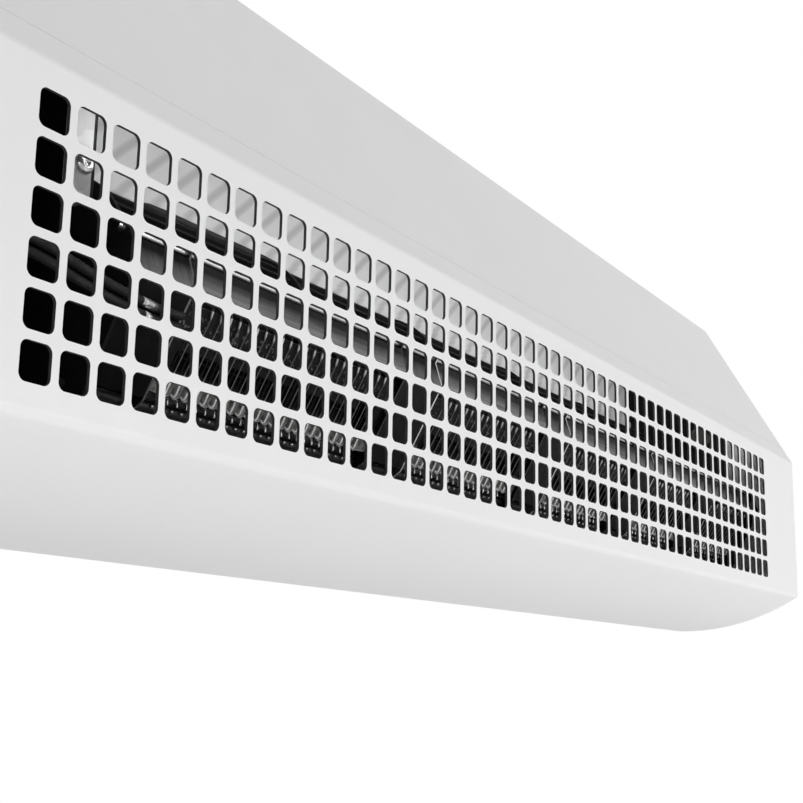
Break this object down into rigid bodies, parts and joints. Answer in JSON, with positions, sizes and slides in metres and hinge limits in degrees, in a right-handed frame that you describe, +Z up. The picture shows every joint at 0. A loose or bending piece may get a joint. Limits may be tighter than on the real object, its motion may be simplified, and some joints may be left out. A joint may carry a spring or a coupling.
{
  "type": "air curtain",
  "caption": "Wall-hung heated air curtain with a perforated sloped casing, open-wire heater modules, a cross-flow fan and adjustable outlet vanes.",
  "frame": {"origin": "centre of the wall bracket's back face, where it lies against the wall", "axes": "+X along the unit, to the right as seen from the room; +Y into the wall; +Z up"},
  "size_m": [0.8904, 0.205, 0.25],
  "materials": {
    "white_paint": "fine satin powder coat, off-white",
    "inner_sheet": "light grey coated sheet, satin",
    "galvanised_steel": "galvanised sheet, faint spangle",
    "bright_steel": "bright zinc plated",
    "reflector_steel": "bright rolled sheet",
    "dull_steel": "dull dark grey",
    "mica": "layered mica board, matt with a faint sheen",
    "resistance_wire": "drawn resistance wire",
    "black_aluminium": "black finish, satin",
    "white_aluminium": "white powder coat",
    "black_plastic": "fine texture, matt",
    "rocker_plastic": "smooth, slightly glossy",
    "pale_plastic": "natural moulded",
    "ceramic_dark": "dark moulded body",
    "motor_can": "grey enamel over steel",
    "rubber": "matt black"
  },
  "bodies": {
    "root": {"front_panel": "white_paint", "lower_panel": "white_paint", "top_cover": "white_paint", "back_plate": "galvanised_steel", "end_cap_left": "white_paint", "end_cap_right": "white_paint", "casing_screws": "bright_steel", "wall_bracket": "galvanised_steel", "outlet_frame": "black_plastic", "scroll": "dull_steel", "upper_guide": "inner_sheet", "tongue": "dull_steel", "fan_wall_left": "dull_steel", "fan_wall_right": "dull_steel", "wall_angle_left": "galvanised_steel", "wall_angle_right": "galvanised_steel", "end_bearing": "rubber", "bearing_cup": "galvanised_steel", "motor_body": "motor_can", "motor_bracket": "galvanised_steel", "motor_screws": "bright_steel", "motor_capacitor": "black_plastic", "terminal_block": "pale_plastic", "thermal_cutout_left": "ceramic_dark", "thermal_cutout_right": "ceramic_dark", "cable_gland": "black_plastic", "gland_nut": "black_plastic", "switch_body": "black_plastic", "heater_rod_top": "bright_steel", "heater_rod_bottom": "bright_steel", "gap_plate_1": "dull_steel", "gap_plate_2": "dull_steel", "gap_plate_3": "dull_steel", "gap_plate_4": "dull_steel", "gap_plate_5": "dull_steel", "heater_cradle_1": "reflector_steel", "heater_cradle_2": "reflector_steel", "heater_cradle_3": "reflector_steel", "heater_cradle_4": "reflector_steel", "heater_cradle_5": "reflector_steel", "heater_board_1": "mica", "heater_board_2": "mica", "heater_board_3": "mica", "heater_board_4": "mica", "heater_board_5": "mica", "heater_wire_1": "resistance_wire", "heater_wire_2": "resistance_wire", "heater_wire_3": "resistance_wire", "heater_wire_4": "resistance_wire", "heater_wire_5": "resistance_wire"},
    "fan": {"impeller": "black_aluminium", "impeller_shaft": "bright_steel", "motor_shaft": "bright_steel"},
    "vane_front": {"vane_front": "white_aluminium"},
    "vane_rear": {"vane_rear": "white_aluminium"},
    "rocker_power": {"rocker_power": "rocker_plastic"},
    "rocker_half_heat": {"rocker_half_heat": "rocker_plastic"},
    "rocker_full_heat": {"rocker_full_heat": "rocker_plastic"}
  },
  "joints": [
    {"name": "fan_spin", "type": "hinge", "parent": "root", "child": "fan", "pos_m": [0.08275, -0.0775, -0.074], "axis": [1, 0, 0], "continuous": true},
    {"name": "vane_front_turn", "type": "hinge", "parent": "root", "child": "vane_front", "pos_m": [0.08275, -0.08488, -0.171], "axis": [1, 0, 0], "range_deg": [-25, 25]},
    {"name": "vane_rear_turn", "type": "hinge", "parent": "root", "child": "vane_rear", "pos_m": [0.08275, -0.06524, -0.171], "axis": [1, 0, 0], "range_deg": [-25, 25]},
    {"name": "rocker_power_press", "type": "hinge", "parent": "root", "child": "rocker_power", "pos_m": [-0.438, -0.16, -0.102], "axis": [0, -1, 0], "range_deg": [0, 14]},
    {"name": "rocker_half_heat_press", "type": "hinge", "parent": "root", "child": "rocker_half_heat", "pos_m": [-0.438, -0.143, -0.102], "axis": [0, -1, 0], "range_deg": [0, 14]},
    {"name": "rocker_full_heat_press", "type": "hinge", "parent": "root", "child": "rocker_full_heat", "pos_m": [-0.438, -0.126, -0.102], "axis": [0, -1, 0], "range_deg": [0, 14]}
  ]
}
